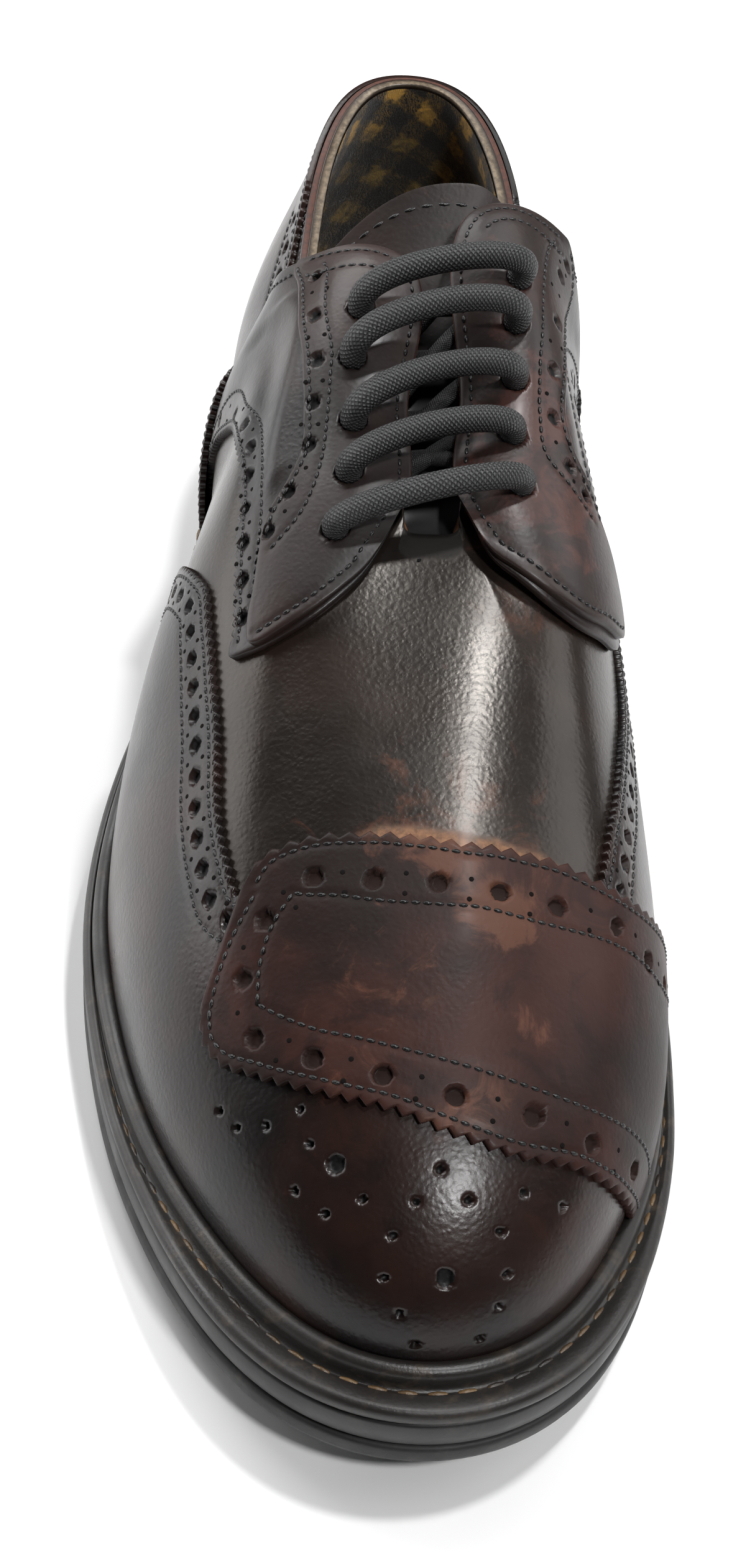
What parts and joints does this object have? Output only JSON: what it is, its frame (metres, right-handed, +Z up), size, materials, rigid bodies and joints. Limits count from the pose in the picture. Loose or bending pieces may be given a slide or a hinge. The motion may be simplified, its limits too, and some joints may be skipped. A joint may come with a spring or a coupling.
{
  "type": "brogue shoe",
  "caption": "Right open-laced brogue shoe with a round toe, toe strap, wing overlays, storm welt and block heel; the lace bars sit across an open slot over the tongue.",
  "frame": {"origin": "centre of the shoe's box on the floor under the sole", "axes": "-Y towards the toe, +X towards the inner side of the foot, +Z up"},
  "size_m": [0.1096, 0.301, 0.1235],
  "materials": {
    "outsole": "matt black moulded rubber",
    "midsole": "dark grey edge, semi-gloss",
    "welt": "waxed black leather with a ribbed upstand and tan stitches",
    "heel": "matt black moulded rubber",
    "insole": "natural leather sock",
    "upper": "burnished burgundy calf, glossy, fine grain",
    "wing": "burnished burgundy calf, glossy, with punched holes",
    "toe_strap": "burnished red-brown calf, glossy, with punched holes",
    "quarter_lateral": "burnished burgundy calf, glossy",
    "quarter_medial": "burnished burgundy calf, glossy",
    "facing_lateral": "burnished burgundy calf with punched holes and stitches",
    "facing_medial": "burnished burgundy calf with punched holes and stitches",
    "counter": "burnished dark burgundy calf with a pinked edge",
    "tongue": "dark brown calf with a stitched top edge",
    "lace": "round waxed woven cord, dark brown"
  },
  "bodies": {
    "root": {"outsole": "outsole", "midsole": "midsole", "welt": "welt", "heel": "heel", "insole": "insole", "upper": "upper", "wing": "wing", "toe_strap": "toe_strap", "quarter_lateral": "quarter_lateral", "quarter_medial": "quarter_medial", "facing_lateral": "facing_lateral", "facing_medial": "facing_medial", "counter": "counter", "tongue": "tongue", "lace_bar_1": "lace", "lace_bar_2": "lace", "lace_bar_3": "lace", "lace_bar_4": "lace", "lace_bar_5": "lace"}
  },
  "joints": []
}
